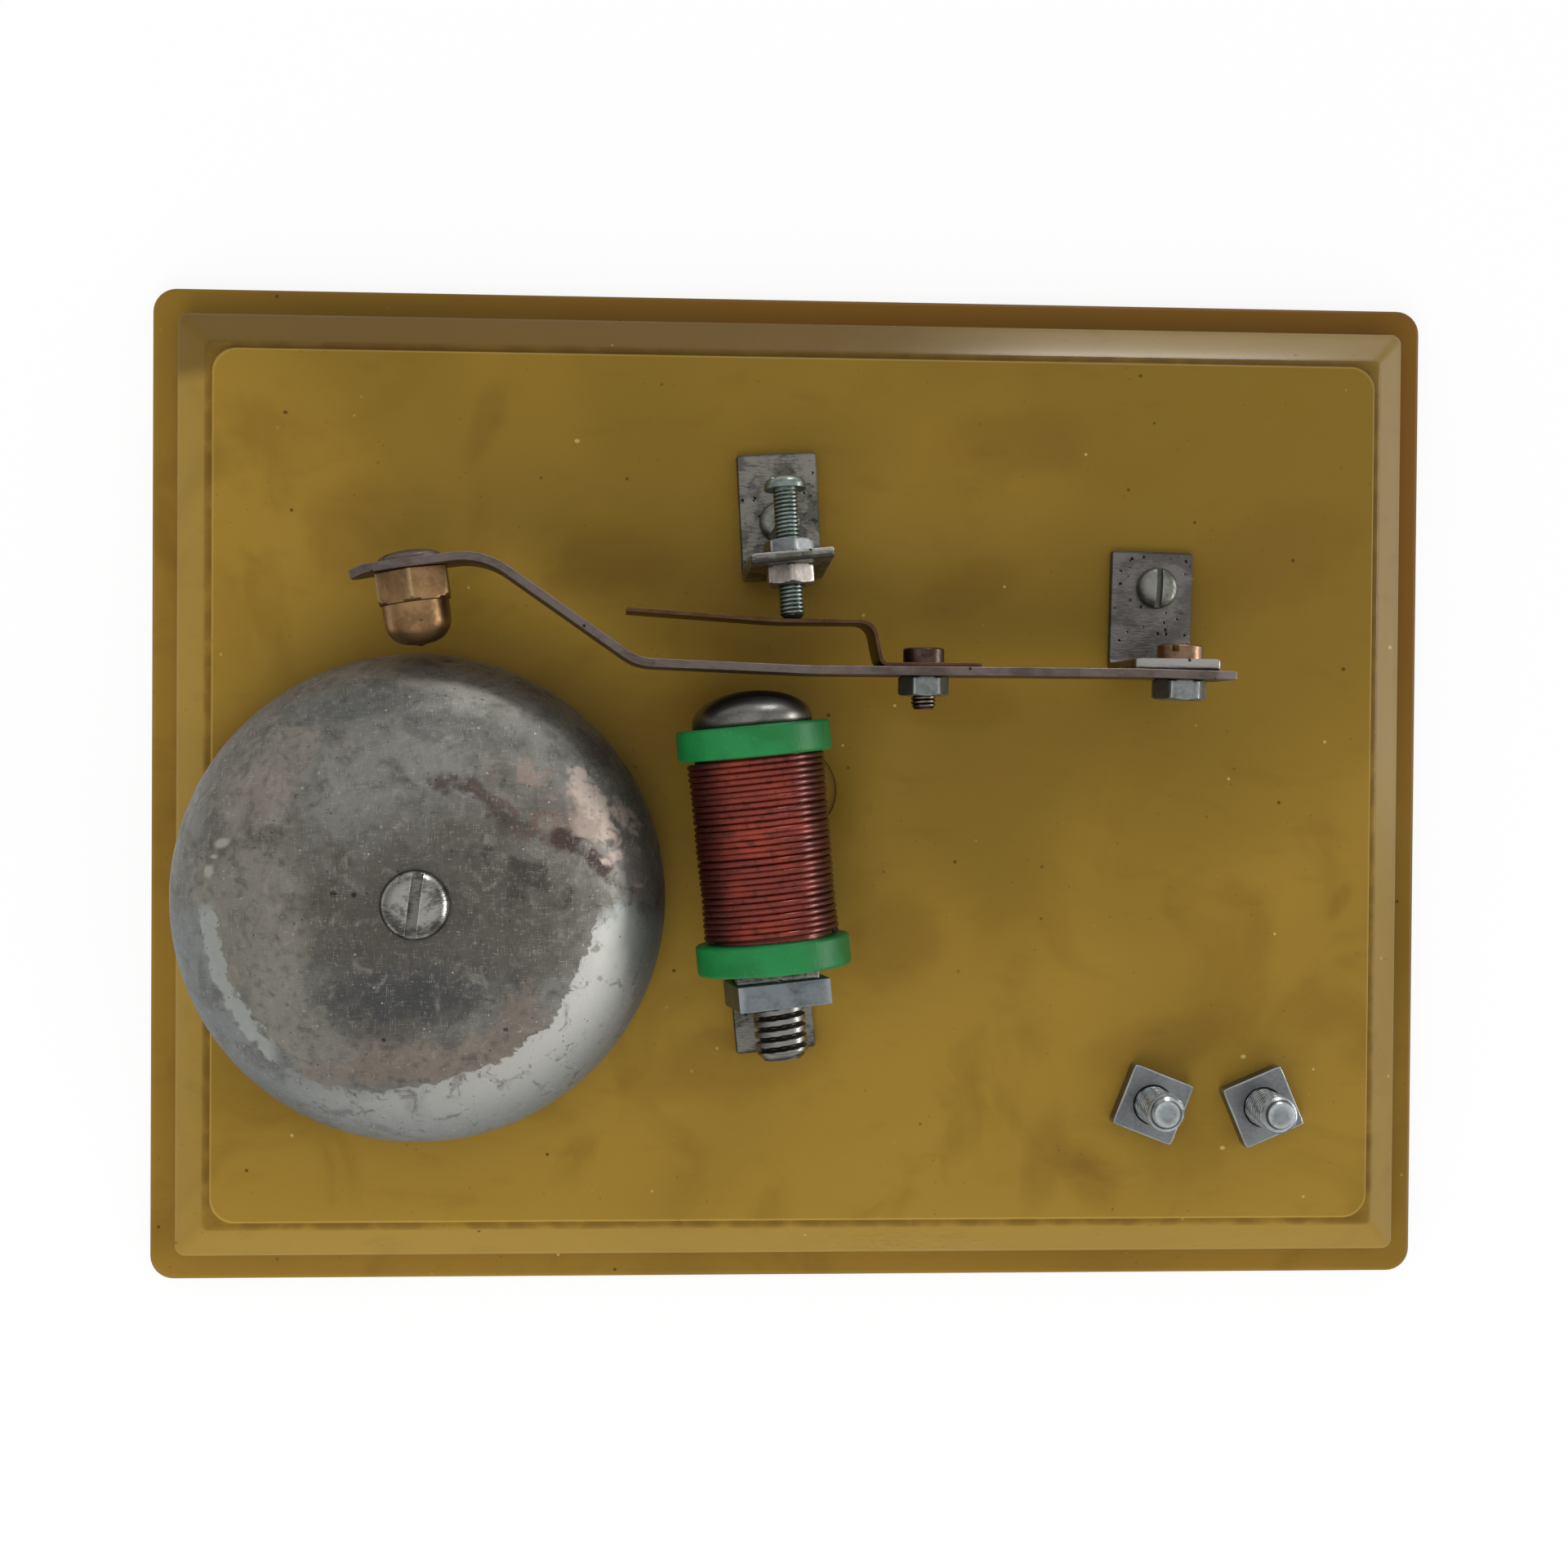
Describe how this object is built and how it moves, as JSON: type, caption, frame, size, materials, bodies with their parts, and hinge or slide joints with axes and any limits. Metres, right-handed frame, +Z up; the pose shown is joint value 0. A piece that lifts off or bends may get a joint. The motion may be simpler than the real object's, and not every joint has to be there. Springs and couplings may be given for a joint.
{
  "type": "electric bell demonstrator",
  "caption": "Flat moulded board with a domed gong, an electromagnet, a sprung armature with a hammer, a screw-set contact and terminal studs.",
  "frame": {"origin": "on the table surface, under the middle of the board", "axes": "+X along the board from the gong to the terminals, +Y across it from the terminals to the contact screw, +Z up from the table"},
  "size_m": [0.165, 0.127, 0.0386],
  "materials": {
    "ochre_plastic": "moulded ochre plastic, semi-gloss, stained",
    "gong_steel": "worn nickel-plated steel, blotched",
    "bright_steel": "polished steel screw heads, scratched",
    "zinc_steel": "zinc-plated steel, dull",
    "galvanised_sheet": "galvanised sheet, scratched and pitted",
    "dark_steel": "oiled dark polished steel",
    "strip_steel": "oxidised spring steel",
    "spring_bronze": "tarnished phosphor bronze",
    "brass_fitting": "dull brass",
    "green_plastic": "moulded green plastic",
    "enamelled_copper": "red-brown enamelled copper wire",
    "red_insulation": "red wire covering"
  },
  "bodies": {
    "base": {"base_board": "ochre_plastic", "gong_pillar": "zinc_steel", "gong": "gong_steel", "gong_screw": "bright_steel", "gong_nut": "zinc_steel", "coil_bobbin": "green_plastic", "winding_inner": "enamelled_copper", "winding_outer": "enamelled_copper", "core_bolt": "dark_steel", "core_nut": "zinc_steel", "coil_bracket": "galvanised_sheet", "coil_bracket_screw": "zinc_steel", "coil_bracket_nut": "zinc_steel", "contact_bracket": "galvanised_sheet", "contact_bracket_screw": "zinc_steel", "contact_bracket_nut": "zinc_steel", "armature_bracket": "galvanised_sheet", "armature_bracket_screw": "zinc_steel", "armature_bracket_nut": "zinc_steel", "armature_root": "strip_steel", "clamp_screw": "brass_fitting", "clamp_nut": "zinc_steel", "terminal_bolt_left": "zinc_steel", "terminal_nut_left": "zinc_steel", "terminal_bolt_right": "zinc_steel", "terminal_nut_right": "zinc_steel", "coil_lead_start": "enamelled_copper", "coil_lead_end": "enamelled_copper", "link_wire": "red_insulation"},
    "armature": {"armature_strip": "strip_steel", "hammer_nut": "brass_fitting", "hammer_screw": "strip_steel", "contact_spring_foot": "spring_bronze", "contact_spring_screw": "dark_steel", "contact_spring_nut": "zinc_steel"},
    "contact_spring": {"contact_spring_blade": "spring_bronze"},
    "contact_screw": {"contact_screw": "zinc_steel"},
    "lock_nut_front": {"lock_nut_front": "zinc_steel"},
    "lock_nut_rear": {"lock_nut_rear": "zinc_steel"}
  },
  "joints": [
    {"name": "armature_flex", "type": "hinge", "parent": "base", "child": "armature", "pos_m": [0.039, 0.01465, 0.024], "axis": [0, 0, 1], "range_deg": [0, 0.9], "stiffness_Nm_per_rad": 1.5},
    {"name": "contact_spring_flex", "type": "hinge", "parent": "armature", "child": "contact_spring", "pos_m": [0.0092, 0.01542, 0.024], "axis": [0, 0, 1], "range_deg": [0, 4], "stiffness_Nm_per_rad": 0.05},
    {"name": "front_nut_turn", "type": "hinge", "parent": "base", "child": "lock_nut_front", "pos_m": [-0.00248, 0.02734, 0.024], "axis": [-0.059, 0.9936, -0.0958], "range_deg": [0, 720]},
    {"name": "contact_adjust", "type": "slide", "parent": "base", "child": "contact_screw", "axis": [-0.059, 0.9936, -0.0958], "range_m": [0, 0.001]},
    {"name": "rear_nut_turn", "type": "hinge", "parent": "base", "child": "lock_nut_rear", "pos_m": [-0.00248, 0.02734, 0.024], "axis": [-0.059, 0.9936, -0.0958], "range_deg": [0, 720]}
  ],
  "couplings": [
    {"joint": "front_nut_turn", "follows": "contact_adjust", "rad_per_m": 12566},
    {"joint": "rear_nut_turn", "follows": "contact_adjust", "rad_per_m": 12566}
  ]
}
